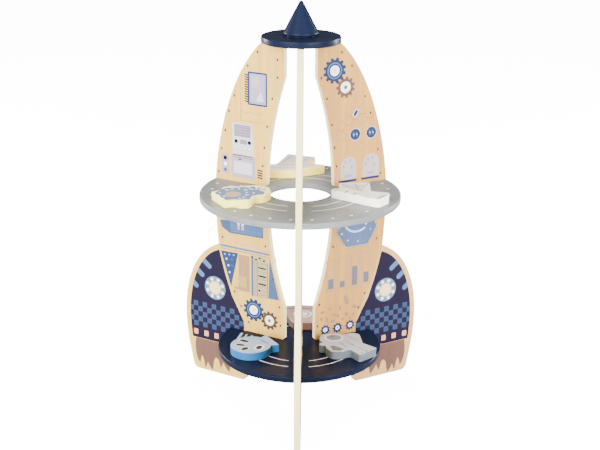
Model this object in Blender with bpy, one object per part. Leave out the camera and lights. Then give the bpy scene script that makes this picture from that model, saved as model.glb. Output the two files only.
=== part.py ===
"""A wooden toy rocket: three upright boards, two play decks, a nose and loose play figures.

Run it with Blender: blender --background --python part.py. Lengths are metres and +Z is up.
The three boards stand on edge round the rocket's axis, one to the front and two behind it.
Each deck slides into the boards with half-lap slots, and the crown disc closes the top.
The rocket's axis is behind the origin, which is the middle of the whole toy's footprint.
"""

import math

import bmesh
import bpy
from mathutils import Matrix, Vector

MM = 0.001

# Board stock and fits
BOARD = 9.0 * MM            # thickness of the three boards
DECK = 9.0 * MM             # thickness of both decks
CROWN = 9.0 * MM            # thickness of the crown disc
FIGURE = 13.0 * MM          # thickness of the loose figures
FIT = 0.3 * MM              # gap left on each side where one piece seats in another
DOWEL_FIT = 0.05 * MM       # gap round a glued dowel or a screw

# Heights above the floor, each to the top face
LOWER_TOP = 86.0 * MM
MIDDLE_TOP = 328.0 * MM
CROWN_BOTTOM = 550.0 * MM

# Discs
LOWER_R = 124.0 * MM
MIDDLE_R = 148.0 * MM
WELL_R = 46.0 * MM          # the round well through the middle deck
CROWN_R = 57.0 * MM
DISC_EDGE = 1.2 * MM        # rounding of the painted rims
DISC_SIDES = 72

# Board outline, as distances from the axis
THROAT_R = 25.5 * MM        # straight inner edge, top and bottom
WAIST_R = 56.0 * MM         # deepest point of the bowed inner edge
THROAT_TOP = CROWN_BOTTOM - 53.0 * MM      # where the bowed inner edge starts
THROAT_BOTTOM = LOWER_TOP + 54.0 * MM      # and where it ends
HULL_R = 148.5 * MM         # widest point of the rocket's hull
HULL_HEIGHT = 298.0 * MM
FIN_R = 208.7 * MM          # widest point of the fins
FIN_HEIGHT = 97.0 * MM
SHOULDER_R = 144.0 * MM     # where fin and hull meet
SHOULDER_HEIGHT = 220.5 * MM
FOOT_OUTER_R = 195.0 * MM
FOOT_INNER_R = 96.0 * MM
LEDGE_R = 64.0 * MM         # inner end of the ledge that carries the lower deck
MIDDLE_LAP_R = 94.0 * MM    # where each board's notch meets the deck's slot
LOWER_LAP_R = 95.0 * MM
FOOT_ROUND = 9.0 * MM
NOTCH_ROUND = 3.0 * MM

# Nose
NOSE_R = 25.2 * MM
NOSE_HEIGHT = 49.0 * MM
NOSE_TIP_R = 3.2 * MM
NOSE_BASE_ROUND = 2.5 * MM
NOSE_FOOT = 1.5 * MM        # the small turned step under the nose
NOSE_FOOT_R = 21.5 * MM
NOSE_SIDES = 32

# Fastenings
DOWEL_R = 3.0 * MM
DOWEL_IN_BOARD = 12.0 * MM
DOWEL_IN_CROWN = 5.5 * MM
DOWEL_PLACES = (THROAT_R + 7.5 * MM, CROWN_R - 12.0 * MM)
DOWEL_SIDES = 12
SCREW_R = 2.0 * MM
SCREW_LENGTH = 28.0 * MM
SCREW_HEAD_R = 4.0 * MM
SCREW_HEAD_HEIGHT = 2.4 * MM

# Loose figures lie on the decks; each outline is drawn about the rocket's axis
FIGURE_EDGE = 0.8 * MM
SHUTTLE_REACH = 162.0 * MM  # how far behind the axis the shuttle's tail fin ends

BOARD_ANGLES = {"front_board": 0.0, "right_board": 120.0, "left_board": -120.0}

WOOD = (0.80, 0.62, 0.40)
NAVY = (0.030, 0.055, 0.130)
GREY = (0.42, 0.44, 0.46)
STEEL = (0.60, 0.60, 0.62)


# Plane curves ---------------------------------------------------------------------------------


def bezier(start, start_handle, end_handle, end, steps):
    """Points of a cubic curve after its start, up to and with its end."""
    ends = [Vector(p) for p in (start, start_handle, end_handle, end)]
    points = []
    for step in range(1, steps + 1):
        t = step / steps
        weights = ((1 - t) ** 3, 3 * t * (1 - t) ** 2, 3 * t * t * (1 - t), t ** 3)
        points.append(sum((w * p for w, p in zip(weights, ends)), Vector((0, 0))))
    return points


def circle_points(centre, radius, start_deg, end_deg, steps):
    """Points round a circle from one angle to the other, both ends included."""
    points = []
    for step in range(steps + 1):
        angle = math.radians(start_deg + (end_deg - start_deg) * step / steps)
        points.append(Vector(centre) + radius * Vector((math.cos(angle), math.sin(angle))))
    return points


def rounded(points, steps=3):
    """A closed outline in which each (x, y, r) corner is rounded to the radius r."""
    result = []
    count = len(points)
    for index, (x, y, radius) in enumerate(points):
        corner = Vector((x, y))
        if radius <= 0:
            result.append(corner)
            continue
        before = (Vector(points[index - 1][:2]) - corner)
        after = (Vector(points[(index + 1) % count][:2]) - corner)
        half = before.angle(after) / 2
        back = min(radius / math.tan(half), 0.49 * before.length, 0.49 * after.length)
        start, end = corner + before.normalized() * back, corner + after.normalized() * back
        bend = 4 / 3 * math.tan((math.pi / 2 - half) / 2) * math.tan(half)
        result.append(start)
        result += bezier(start, start.lerp(corner, bend), end.lerp(corner, bend), end, steps)
    return result


# Solids ---------------------------------------------------------------------------------------


def paint(name, colour, roughness, metallic=0.0):
    """A plain Principled material, made once for each name."""
    material = bpy.data.materials.get(name)
    if material is None:
        material = bpy.data.materials.new(name)
        material.use_nodes = True
        shader = material.node_tree.nodes["Principled BSDF"]
        shader.inputs["Base Color"].default_value = (*colour, 1.0)
        shader.inputs["Roughness"].default_value = roughness
        shader.inputs["Metallic"].default_value = metallic
    return material


def add_object(name, bm, material, parent=None):
    """Turns a bmesh into a named, smooth-shaded object."""
    mesh = bpy.data.meshes.new(name)
    bmesh.ops.recalc_face_normals(bm, faces=bm.faces)
    bm.to_mesh(mesh)
    bm.free()
    mesh.shade_smooth()
    mesh.set_sharp_from_angle(angle=math.radians(35))
    obj = bpy.data.objects.new(name, mesh)
    bpy.context.scene.collection.objects.link(obj)
    obj.parent = parent
    if material is not None:
        mesh.materials.append(material)
    return obj


def slab(outline, low, high, edge=0.0):
    """A bmesh of a flat outline raised from low to high, its rims rounded by edge."""
    bm = bmesh.new()
    face = bm.faces.new([bm.verts.new((p[0], p[1], low)) for p in outline])
    raised = bmesh.ops.extrude_face_region(bm, geom=[face])["geom"]
    tops = [v for v in raised if isinstance(v, bmesh.types.BMVert)]
    bmesh.ops.translate(bm, verts=tops, vec=(0, 0, high - low))
    if edge > 0:
        rims = [e for e in bm.edges if abs(e.verts[0].co.z - e.verts[1].co.z) < edge / 10]
        bmesh.ops.bevel(bm, geom=rims, offset=edge, segments=1, profile=0.5, affect="EDGES",
                        offset_type="OFFSET", material=-1, clamp_overlap=True)
    return bm


def turned(profile, sides):
    """A bmesh turned about Z from (radius, height) points, bottom to top, ending on the axis."""
    bm = bmesh.new()
    verts = [bm.verts.new((r, 0, z)) for r, z in profile]
    edges = [bm.edges.new(pair) for pair in zip(verts, verts[1:])]
    bmesh.ops.spin(bm, geom=verts + edges, cent=(0, 0, 0), axis=(0, 0, 1), dvec=(0, 0, 0),
                   angle=math.tau, steps=sides, use_merge=True)
    bmesh.ops.remove_doubles(bm, verts=bm.verts, dist=1e-6)
    bmesh.ops.recalc_face_normals(bm, faces=bm.faces)
    return bm


def cut(obj, cutter):
    """Subtracts the cutter from the object and hides the cutter."""
    cutter.hide_render = True
    cutter.display_type = "WIRE"
    boolean = obj.modifiers.new("cut_" + cutter.name, "BOOLEAN")
    boolean.operation = "DIFFERENCE"
    boolean.solver = "EXACT"
    boolean.object = cutter


# The rocket's own pieces ----------------------------------------------------------------------


def inner_edge_r(height):
    """How far the bowed inner edge is from the axis at a height."""
    middle = (THROAT_TOP + THROAT_BOTTOM) / 2
    half = (THROAT_TOP - THROAT_BOTTOM) / 2
    depth = WAIST_R - THROAT_R
    radius = (half ** 2 + depth ** 2) / (2 * depth)
    return WAIST_R - radius + math.sqrt(radius ** 2 - (height - middle) ** 2)


def board_outline():
    """A board's outline as (distance from the axis, height), from the foot round by the fin."""
    fin_low = (FOOT_OUTER_R + 1.5 * MM, FOOT_ROUND)
    fin_wide = (FIN_R, FIN_HEIGHT)
    shoulder = (SHOULDER_R, SHOULDER_HEIGHT)
    hull_wide = (HULL_R, HULL_HEIGHT)
    hull_top = (CROWN_R + FIT, CROWN_BOTTOM - FIT)
    outline = [Vector((FOOT_INNER_R + FOOT_ROUND * 0.7, 0))]
    outline += bezier((FOOT_OUTER_R - FOOT_ROUND, 0), (FOOT_OUTER_R - FOOT_ROUND * 0.4, 0),
                      (fin_low[0] - 1.2 * MM, FOOT_ROUND * 0.4), fin_low, 6)
    outline.insert(1, Vector((FOOT_OUTER_R - FOOT_ROUND, 0)))
    outline += bezier(fin_low, (fin_low[0] + 7 * MM, 39 * MM),
                      (FIN_R, FIN_HEIGHT - 32 * MM), fin_wide, 12)
    outline += bezier(fin_wide, (FIN_R, FIN_HEIGHT + 63 * MM),
                      (SHOULDER_R + 38 * MM, SHOULDER_HEIGHT - 11 * MM), shoulder, 18)
    outline += bezier(shoulder, (SHOULDER_R + 2 * MM, SHOULDER_HEIGHT + 24 * MM),
                      (HULL_R, HULL_HEIGHT - 28 * MM), hull_wide, 8)
    outline += bezier(hull_wide, (HULL_R, HULL_HEIGHT + 87 * MM),
                      (CROWN_R + 60 * MM, CROWN_BOTTOM - 47 * MM), hull_top, 30)
    outline.append(Vector((THROAT_R, CROWN_BOTTOM - FIT)))
    throat_top, throat_bottom = (THROAT_R, THROAT_TOP), (THROAT_R, THROAT_BOTTOM)
    outline.append(Vector(throat_top))
    outline += bowed_stretch(THROAT_TOP, MIDDLE_TOP + FIT)
    outline += notch(MIDDLE_LAP_R, MIDDLE_TOP, inner_edge_r(MIDDLE_TOP),
                     inner_edge_r(MIDDLE_TOP - DECK))
    outline += bowed_stretch(MIDDLE_TOP - DECK - FIT, THROAT_BOTTOM)
    outline.append(Vector(throat_bottom))
    outline += notch(LOWER_LAP_R, LOWER_TOP, THROAT_R, LEDGE_R)
    outline += bezier((LEDGE_R, LOWER_TOP - DECK - FIT), (LEDGE_R + 4 * MM, 44 * MM),
                      (FOOT_INNER_R - 2 * MM, 40 * MM), (FOOT_INNER_R, FOOT_ROUND), 12)
    outline += bezier((FOOT_INNER_R, FOOT_ROUND), (FOOT_INNER_R, FOOT_ROUND * 0.4),
                      (FOOT_INNER_R + FOOT_ROUND * 0.3, 0),
                      (FOOT_INNER_R + FOOT_ROUND * 0.7, 0), 5)[:-1]
    return outline


def bowed_stretch(high, low, step=12.0 * MM):
    """Points down the bowed inner edge between two heights, ends left out."""
    count = max(2, round((high - low) / step))
    heights = [high + (low - high) * i / count for i in range(1, count)]
    return [Vector((inner_edge_r(z), z)) for z in heights]


def notch(lap_r, deck_top, upper_r, lower_r):
    """The notch that a deck slides into, from the board's inner edge out to lap_r."""
    top, bottom = deck_top + FIT, deck_top - DECK - FIT
    return [*circle_points((upper_r + NOTCH_ROUND, top + NOTCH_ROUND), NOTCH_ROUND, 180, 270, 4),
            Vector((lap_r + FIT, top)), Vector((lap_r + FIT, bottom)),
            *circle_points((lower_r + NOTCH_ROUND, bottom - NOTCH_ROUND), NOTCH_ROUND, 90, 180, 4)]


def make_board(name, angle_deg, axis):
    """One upright board. Its outline stands in the XZ plane and turns to its place."""
    bm = slab(board_outline(), -BOARD / 2, BOARD / 2)
    stand = Matrix(((0, 0, 1, 0), (-1, 0, 0, 0), (0, 1, 0, 0), (0, 0, 0, 1)))
    bmesh.ops.transform(bm, matrix=stand, verts=bm.verts)
    board = add_object(name, bm, paint("plywood", WOOD, 0.55), axis)
    board.rotation_euler.z = math.radians(angle_deg)
    for place in DOWEL_PLACES:
        hole = dowel(f"{name}_hole_{place / MM:.0f}", place, DOWEL_R + DOWEL_FIT,
                     CROWN_BOTTOM - DOWEL_IN_BOARD - FIT, CROWN_BOTTOM + BOARD)
        hole.parent = board
        cut(board, hole)
    return board


def dowel(name, distance, radius, low, high):
    """A round peg standing at a distance in front of the axis."""
    bm = bmesh.new()
    bmesh.ops.create_cone(bm, cap_ends=True, segments=DOWEL_SIDES, radius1=radius,
                          radius2=radius, depth=high - low)
    bmesh.ops.translate(bm, verts=bm.verts, vec=(0, -distance, (low + high) / 2))
    return add_object(name, bm, paint("beech", WOOD, 0.5))


def lap_slot(name, inner_r, outer_r, low, high, angle_deg, axis):
    """The cutter of a deck's slot, open at the rim, for the board at that angle."""
    bm = bmesh.new()
    bmesh.ops.create_cube(bm, size=1)
    size = (BOARD + 2 * FIT, outer_r - inner_r, high - low)
    bmesh.ops.scale(bm, vec=size, verts=bm.verts)
    bmesh.ops.translate(bm, verts=bm.verts, vec=(0, -(inner_r + outer_r) / 2, (low + high) / 2))
    cutter = add_object(name, bm, None, axis)
    cutter.rotation_euler.z = math.radians(angle_deg)
    return cutter


def ring_profile(inner_r, outer_r, low, high):
    """A disc's or a ring's profile with its outer rims rounded."""
    e = DISC_EDGE
    profile = [(outer_r - e, low), (outer_r - e * 0.3, low + e * 0.3), (outer_r, low + e),
               (outer_r, high - e), (outer_r - e * 0.3, high - e * 0.3), (outer_r - e, high)]
    if inner_r > 0:
        return [(inner_r, low), *profile, (inner_r, high), (inner_r, low)]
    return [(0, low), *profile, (0, high)]


def make_deck(name, radius, well_r, top, lap_r, material, axis):
    """A deck with a half-lap slot for each board."""
    bm = turned(ring_profile(well_r, radius, top - DECK, top), DISC_SIDES)
    deck = add_object(name, bm, material, axis)
    for board, angle in BOARD_ANGLES.items():
        slot = lap_slot(f"{name}_slot_{board}", lap_r - FIT, radius + BOARD, top - 2 * DECK,
                        top + DECK, angle, axis)
        cut(deck, slot)
    return deck


def make_crown(axis):
    """The disc on top of the boards, with blind dowel holes below and a screw hole."""
    profile = ring_profile(0, CROWN_R, CROWN_BOTTOM, CROWN_BOTTOM + CROWN)
    crown = add_object("crown_disc", turned(profile, DISC_SIDES), paint("navy", NAVY, 0.3), axis)
    for board, angle in BOARD_ANGLES.items():
        for place in DOWEL_PLACES:
            hole = dowel(f"crown_hole_{board}_{place / MM:.0f}", place, DOWEL_R + DOWEL_FIT,
                         CROWN_BOTTOM - BOARD, CROWN_BOTTOM + DOWEL_IN_CROWN + FIT)
            hole.parent = axis
            hole.rotation_euler.z = math.radians(angle)
            cut(crown, hole)
    cut(crown, screw_shape("crown_screw_hole", DOWEL_FIT, axis))
    return crown


def make_nose(axis):
    """The turned nose cone, with a pilot hole for its screw."""
    base = CROWN_BOTTOM + CROWN + FIT
    shoulder = base + NOSE_FOOT
    slope = math.atan2(NOSE_R - NOSE_TIP_R, NOSE_HEIGHT - NOSE_FOOT - NOSE_BASE_ROUND)
    profile = [(0, base), (NOSE_FOOT_R, base), (NOSE_FOOT_R, shoulder)]
    round_centre = (NOSE_R - NOSE_BASE_ROUND, shoulder + NOSE_BASE_ROUND)
    rim = circle_points(round_centre, NOSE_BASE_ROUND, -90, math.degrees(slope), 4)
    tip_centre = (0, base + NOSE_HEIGHT - NOSE_TIP_R)
    tip = circle_points(tip_centre, NOSE_TIP_R, math.degrees(slope), 90, 4)
    profile += [tuple(p) for p in rim + tip[:-1]] + [(0, base + NOSE_HEIGHT)]
    nose = add_object("nose_cone", turned(profile, NOSE_SIDES), paint("navy", NAVY, 0.3), axis)
    cut(nose, screw_shape("nose_pilot_hole", DOWEL_FIT, axis))
    return nose


def screw_shape(name, gap, axis):
    """The countersunk screw that holds the nose, up from below the crown; gap widens it."""
    low = CROWN_BOTTOM
    head, shank = SCREW_HEAD_R + gap, SCREW_R + gap
    start = low - BOARD if gap else low + FIT
    taper = low + FIT + SCREW_HEAD_HEIGHT
    end = low + FIT + SCREW_LENGTH + gap
    profile = [(0, start), (head, start), (head, low + FIT), (shank, taper),
               (shank, end - SCREW_R), (0, end)]
    if not gap:
        profile.pop(2)
    return add_object(name, turned(profile, DOWEL_SIDES), paint("zinc", STEEL, 0.3, 1.0), axis)


def make_dowels(axis):
    """The dowels glued into the top of each board, which the crown sits down on."""
    for board, angle in BOARD_ANGLES.items():
        for number, place in enumerate(DOWEL_PLACES, start=1):
            peg = dowel(f"{board}_dowel_{number}", place, DOWEL_R,
                        CROWN_BOTTOM - DOWEL_IN_BOARD, CROWN_BOTTOM + DOWEL_IN_CROWN)
            peg.parent = axis
            peg.rotation_euler.z = math.radians(angle)


# Loose play figures ---------------------------------------------------------------------------


def make_figure(name, outline, deck_top, colour, axis):
    """A flat figure lying on a deck."""
    base = deck_top + FIT
    bm = slab(outline, base, base + FIGURE, FIGURE_EDGE)
    return add_object(name, bm, paint(name + "_paint", colour, 0.5), axis)


def in_mm(corners):
    """Corners given in millimetres, as (x, y, rounding), in metres."""
    return [(x * MM, y * MM, r * MM) for x, y, r in corners]


def comet_outline():
    """A comet: a star-cornered head on the left and a fanned tail on the right."""
    return rounded(in_mm([
        (-127, -45, 2), (-113, -36, 3), (-113, -24, 5), (-101, -15, 6), (-90, -18, 8),
        (-76, -14, 8), (-60, -11, 8), (-44, -21, 9), (-41, -42, 9), (-50, -60, 9),
        (-65, -61, 9), (-69, -84, 8), (-84, -87, 8), (-94, -77, 8), (-105, -86, 3)]))


def satellite_outline():
    """A satellite: a square sail behind a long wedge-ended boom."""
    return rounded(in_mm([
        (45, -31, 2), (50, -23, 2), (57, -24.5, 0), (57, 4, 1.5), (102, 8, 1.5),
        (102, -35.5, 0), (128, -43, 2), (127, -57, 2), (113, -76, 3), (105, -73, 3)]))


def shuttle_outline():
    """A shuttle seen from the side, its tail fin reaching back over the deck's rim."""
    tail_end = SHUTTLE_REACH / MM
    return rounded(in_mm([
        (-93, 80, 7), (-78, 67, 12), (-12, 65.5, 8), (6, 77, 6), (36, 94, 3), (36, 102, 3),
        (12, 108, 6), (22, 139, 3), (21, 145, 2), (-8, tail_end - 6, 3), (-22, tail_end, 3),
        (-38, 103, 8), (-84, 93, 6)]))


def pod_outline():
    """A round pod with a flared nozzle, a stub on its rim and a bent aerial."""
    centre, radius = (-72.3 * MM, -38.3 * MM), 30.6 * MM
    nozzle_deg, neck_deg = 31, 33
    flare = in_mm([(33, -19.5, 0), (37, -20.5, 0), (37, 20.5, 0), (33, 19.5, 0)])
    turn = Matrix.Rotation(math.radians(nozzle_deg), 2)
    outline = [turn @ Vector(p[:2]) for p in flare]
    outline += circle_points((0, 0), radius, nozzle_deg + neck_deg, 85, 5)
    outline += circle_points((0, radius + 0.6 * MM), 2.8 * MM, 0, 180, 6)
    outline += circle_points((0, 0), radius, 95, 125, 5)
    outline += circle_points((-15.9 * MM, 42.5 * MM), 2.4 * MM, -13, 167, 6)
    outline += circle_points((0, 0), radius, 140, 360 + nozzle_deg - neck_deg, 32)
    return [p + Vector(centre) for p in outline]


def astronaut_outline():
    """A stout astronaut lying back: helmet to the left, boots to the front right."""
    return rounded(in_mm([
        (31, -21, 4), (31, -4, 9), (40, 7, 9), (55, 9, 7), (67, 4, 5), (83, 10.5, 6),
        (92, 5, 5), (96, -28, 6), (117, -46, 3), (90, -71, 3), (76, -51, 5), (67, -59, 8),
        (49, -62, 9), (41, -49, 6), (40, -39, 2), (31, -38, 4), (30, -29, 4), (38, -28, 2)]))


def capsule_outline():
    """A re-entry capsule: a narrow neck towards the axis and a wide, rounded base."""
    return rounded(in_mm([
        (-10, 47, 3), (20, 47, 3), (26, 62, 10), (40, 104, 10), (36, 116, 10), (5, 121, 60),
        (-26, 116, 10), (-30, 104, 10), (-16, 62, 10)]))


FIGURES = (
    ("comet_figure", comet_outline, MIDDLE_TOP, WOOD),
    ("satellite_figure", satellite_outline, MIDDLE_TOP, (0.85, 0.86, 0.82)),
    ("shuttle_figure", shuttle_outline, MIDDLE_TOP, WOOD),
    ("pod_figure", pod_outline, LOWER_TOP, (0.18, 0.45, 0.72)),
    ("astronaut_figure", astronaut_outline, LOWER_TOP, (0.56, 0.60, 0.60)),
    ("capsule_figure", capsule_outline, LOWER_TOP, (0.40, 0.20, 0.13)),
)


def centre_on_origin(axis):
    """Moves the axis so that the middle of the whole toy's footprint is at the origin."""
    bpy.context.view_layer.update()
    solids = [o for o in bpy.data.objects if o.type == "MESH" and not o.hide_render]
    points = [o.matrix_world @ v.co for o in solids for v in o.data.vertices]
    for side in (0, 1):
        reach = [p[side] for p in points]
        axis.location[side] = -(min(reach) + max(reach)) / 2


def main():
    """Clears the scene and builds every piece under an empty on the rocket's axis."""
    for obj in list(bpy.data.objects):
        bpy.data.objects.remove(obj, do_unlink=True)
    axis = bpy.data.objects.new("rocket_axis", None)
    bpy.context.scene.collection.objects.link(axis)
    for name, angle in BOARD_ANGLES.items():
        make_board(name, angle, axis)
    make_deck("middle_deck", MIDDLE_R, WELL_R, MIDDLE_TOP, MIDDLE_LAP_R,
              paint("grey", GREY, 0.4), axis)
    make_deck("lower_deck", LOWER_R, 0, LOWER_TOP, LOWER_LAP_R, paint("navy", NAVY, 0.3), axis)
    make_crown(axis)
    make_nose(axis)
    screw_shape("nose_screw", 0, axis)
    make_dowels(axis)
    for name, outline, deck_top, colour in FIGURES:
        make_figure(name, outline(), deck_top, colour, axis)
    centre_on_origin(axis)


main()
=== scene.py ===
"""Looks for a slot-together wooden rocket play set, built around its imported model.

The boards, decks, crown, nose and play figures are finer copies of their CAD nodes with rounded
edges, and every printed mark is a thin closed plate of ink on the face that it is printed on.
"""

import logging
import math
from collections.abc import Iterable, Sequence
from dataclasses import dataclass
from enum import Enum

import bmesh
import bpy
from mathutils import Matrix, Vector


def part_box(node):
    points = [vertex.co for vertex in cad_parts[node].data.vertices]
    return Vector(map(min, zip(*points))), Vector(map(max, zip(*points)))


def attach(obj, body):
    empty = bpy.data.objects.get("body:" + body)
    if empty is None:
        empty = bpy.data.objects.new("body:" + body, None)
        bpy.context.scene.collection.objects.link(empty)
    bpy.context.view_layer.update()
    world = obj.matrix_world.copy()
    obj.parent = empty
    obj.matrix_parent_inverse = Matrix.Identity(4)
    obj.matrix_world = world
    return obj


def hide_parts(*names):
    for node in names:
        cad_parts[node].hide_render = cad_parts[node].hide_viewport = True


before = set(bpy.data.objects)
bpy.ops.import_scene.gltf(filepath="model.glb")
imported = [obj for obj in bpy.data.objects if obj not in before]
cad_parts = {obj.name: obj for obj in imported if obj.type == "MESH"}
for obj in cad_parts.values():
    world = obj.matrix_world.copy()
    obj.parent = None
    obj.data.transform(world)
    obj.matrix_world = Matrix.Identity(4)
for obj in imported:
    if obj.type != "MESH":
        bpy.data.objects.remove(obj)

log = logging.getLogger("rocket_set")

MM = 0.001
UP = Vector((0, 0, 1))

BOARD_TURNS = (-90, 30, 150)

Tone = tuple[float, float, float]
Point = tuple[float, float]


# Finishes -------------------------------------------------------------------------------------
class Bench:
    """A new material with its principled shader, and short calls for the nodes finishes share."""

    def __init__(self, name: str) -> None:
        """Create the material.

        Args:
            name: The material's name.
        """
        self.material = bpy.data.materials.new(name)
        self.material.use_nodes = True
        self.nodes = self.material.node_tree.nodes
        self.links = self.material.node_tree.links
        self.shader = self.nodes["Principled BSDF"]

    def set(self, **sockets: float) -> None:
        """Set constant values on the shader's sockets; an underscore in a name is a space."""
        for name, value in sockets.items():
            self.shader.inputs[name.replace("_", " ")].default_value = value

    def place(
        self, scale: Sequence[float] = (1, 1, 1), turn: float = 0.0, shift: Sequence[float] = (0, 0, 0)
    ) -> bpy.types.NodeSocket:
        """Return object coordinates, scaled, turned about Z and then shifted.

        Args:
            scale: The factor along each axis, applied first.
            turn: The angle about Z in radians.
            shift: What is added last, in metres.

        Returns:
            The mapped coordinates.
        """
        source = self.nodes.new("ShaderNodeTexCoord")
        mapping = self.nodes.new("ShaderNodeMapping")
        mapping.inputs["Scale"].default_value = scale
        mapping.inputs["Rotation"].default_value = (0, 0, turn)
        mapping.inputs["Location"].default_value = shift
        self.links.new(source.outputs["Object"], mapping.inputs["Vector"])
        return mapping.outputs["Vector"]

    def stretch(self, vector: bpy.types.NodeSocket, scale: Sequence[float]) -> bpy.types.NodeSocket:
        """Return the coordinates scaled along each axis."""
        mapping = self.nodes.new("ShaderNodeMapping")
        mapping.inputs["Scale"].default_value = scale
        self.links.new(vector, mapping.inputs["Vector"])
        return mapping.outputs["Vector"]

    def parts(self, vector: bpy.types.NodeSocket) -> bpy.types.NodeOutputs:
        """Return the X, Y and Z of the coordinates."""
        split = self.nodes.new("ShaderNodeSeparateXYZ")
        self.links.new(vector, split.inputs["Vector"])
        return split.outputs

    def noise(
        self, vector: bpy.types.NodeSocket, scale: float, detail: float = 3.0, rough: float = 0.55
    ) -> bpy.types.NodeSocket:
        """Return a noise between 0 and 1 over the coordinates."""
        node = self.nodes.new("ShaderNodeTexNoise")
        node.inputs["Scale"].default_value = scale
        node.inputs["Detail"].default_value = detail
        node.inputs["Roughness"].default_value = rough
        self.links.new(vector, node.inputs["Vector"])
        return node.outputs["Fac"]

    def sum(self, kind: str, first: bpy.types.NodeSocket, second: float = 0.0) -> bpy.types.NodeSocket:
        """Return a sum of one socket and one number, of the kind that a Math node names."""
        node = self.nodes.new("ShaderNodeMath")
        node.operation = kind
        self.links.new(first, node.inputs[0])
        node.inputs[1].default_value = second
        return node.outputs[0]

    def remap(
        self, value: bpy.types.NodeSocket, low: float, high: float, to_low: float = 0.0,
        to_high: float = 1.0,
    ) -> bpy.types.NodeSocket:
        """Return the value mapped from low..high to to_low..to_high, held at both ends."""
        node = self.nodes.new("ShaderNodeMapRange")
        numbers = (low, high, to_low, to_high)
        for name, number in zip(("From Min", "From Max", "To Min", "To Max"), numbers):
            node.inputs[name].default_value = number
        self.links.new(value, node.inputs["Value"])
        return node.outputs["Result"]

    def blend(
        self, amount: bpy.types.NodeSocket, first: Tone | bpy.types.NodeSocket,
        second: Tone | bpy.types.NodeSocket,
    ) -> bpy.types.NodeSocket:
        """Return the first colour where the amount is 0 and the second where it is 1.

        Args:
            amount: The share of the second colour.
            first: A tone or a colour socket.
            second: A tone or a colour socket.

        Returns:
            The mixed colour.
        """
        node = self.nodes.new("ShaderNodeMix")
        node.data_type = "RGBA"
        self.links.new(amount, node.inputs["Factor"])
        colours = [s for s in node.inputs if s.type == "RGBA"]
        for socket, colour in zip(colours, (first, second)):
            if isinstance(colour, tuple):
                socket.default_value = (*colour, 1.0)
            else:
                self.links.new(colour, socket)
        return next(s for s in node.outputs if s.type == "RGBA")

    def colour(self, socket: bpy.types.NodeSocket) -> None:
        """Drive the base colour."""
        self.links.new(socket, self.shader.inputs["Base Color"])

    def roughness(self, socket: bpy.types.NodeSocket) -> None:
        """Drive the roughness."""
        self.links.new(socket, self.shader.inputs["Roughness"])

    def bump(self, height: bpy.types.NodeSocket, strength: float, depth: float) -> None:
        """Drive the normal from a height.

        Args:
            height: The height, between 0 and 1.
            strength: How strongly the bump shows.
            depth: The height's full range in metres.
        """
        node = self.nodes.new("ShaderNodeBump")
        node.inputs["Strength"].default_value = strength
        node.inputs["Distance"].default_value = depth
        self.links.new(height, node.inputs["Height"])
        self.links.new(node.outputs["Normal"], self.shader.inputs["Normal"])


def darker(tone: Tone, share: float) -> Tone:
    """Return the tone with each channel multiplied by share."""
    return (tone[0] * share, tone[1] * share, tone[2] * share)


@dataclass(frozen=True)
class PrintedPly:
    """Birch plywood with a lightly tinted face print and sanded, lacquered edges; the face tone is lit on
    side A and painted darker on side B, as painted shade.
    """

    # Side A's face tone is the lit one; side B's is painted darker, as painted shade.
    lit_face: Tone
    shaded_face: Tone
    edge: Tone = (0.76, 0.66, 0.33)
    glue: Tone = (0.54, 0.41, 0.18)
    honey: Tone = (0.60, 0.31, 0.045)
    grain_share: float = 0.8
    plies: int = 5
    roughness: float = 0.48
    veneer: float = 0.45 * MM

    def material(self, name: str, turn: float, centre: Vector, thickness: float) -> bpy.types.Material:
        """Return the material for a board that stands at an angle about the rocket's axis.

        Args:
            name: The material's name.
            turn: The board's angle about Z in radians.
            centre: A point of the axis, in metres.
            thickness: The board's thickness in metres.

        Returns:
            The material.
        """
        bench = Bench(name)
        shift = -(Matrix.Rotation(-turn, 3, "Z") @ centre)
        local = bench.place(turn=-turn, shift=(shift.x, shift.y, 0))
        through, _, _ = bench.parts(local)
        depth = bench.sum("ABSOLUTE", through)
        half = thickness / 2
        on_face = bench.remap(depth, half - self.veneer, half - self.veneer / 2)
        on_a = bench.remap(through, -half / 4, half / 4)
        streaks = bench.noise(bench.stretch(local, (60, 420, 9)), 1.0, 4.0, 0.6)
        bands = bench.noise(bench.stretch(local, (20, 95, 3)), 1.0, 3.0, 0.6)
        clouds = bench.noise(bench.stretch(local, (8, 26, 7)), 1.0, 2.0)
        # Side A gets the lit face tone and side B the darker tone, which is painted shade.
        face = bench.blend(on_a, self.shaded_face, self.lit_face)
        grained = bench.blend(
            on_a, darker(self.shaded_face, self.grain_share), darker(self.lit_face, self.grain_share)
        )
        face = bench.blend(bench.remap(streaks, 0.38, 0.72, 0.0, 0.55), face, grained)
        face = bench.blend(bench.remap(clouds, 0.35, 0.7, 0.0, 0.5), face, grained)
        face = bench.blend(bench.remap(bands, 0.48, 0.62, 0.0, 0.65), face, self.honey)
        layers = bench.sum("PINGPONG", bench.sum("ADD", through, half), thickness / self.plies / 2)
        line = bench.remap(layers, 0.0, thickness / self.plies / 6, 0.3, 0.0)
        edge = bench.blend(line, self.edge, self.glue)
        fibres = bench.noise(bench.stretch(local, (900, 120, 120)), 1.0, 2.0)
        edge = bench.blend(bench.remap(fibres, 0.4, 0.75, 0.0, 0.35), edge, self.glue)
        bench.colour(bench.blend(on_face, edge, face))
        bench.set(Coat_Weight=0.05, Coat_Roughness=0.3, Specular_IOR_Level=0.2)
        bench.roughness(bench.remap(clouds, 0.2, 0.8, self.roughness - 0.05, self.roughness + 0.08))
        bench.bump(streaks, 0.25, 0.12 * MM)
        return bench.material


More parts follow.
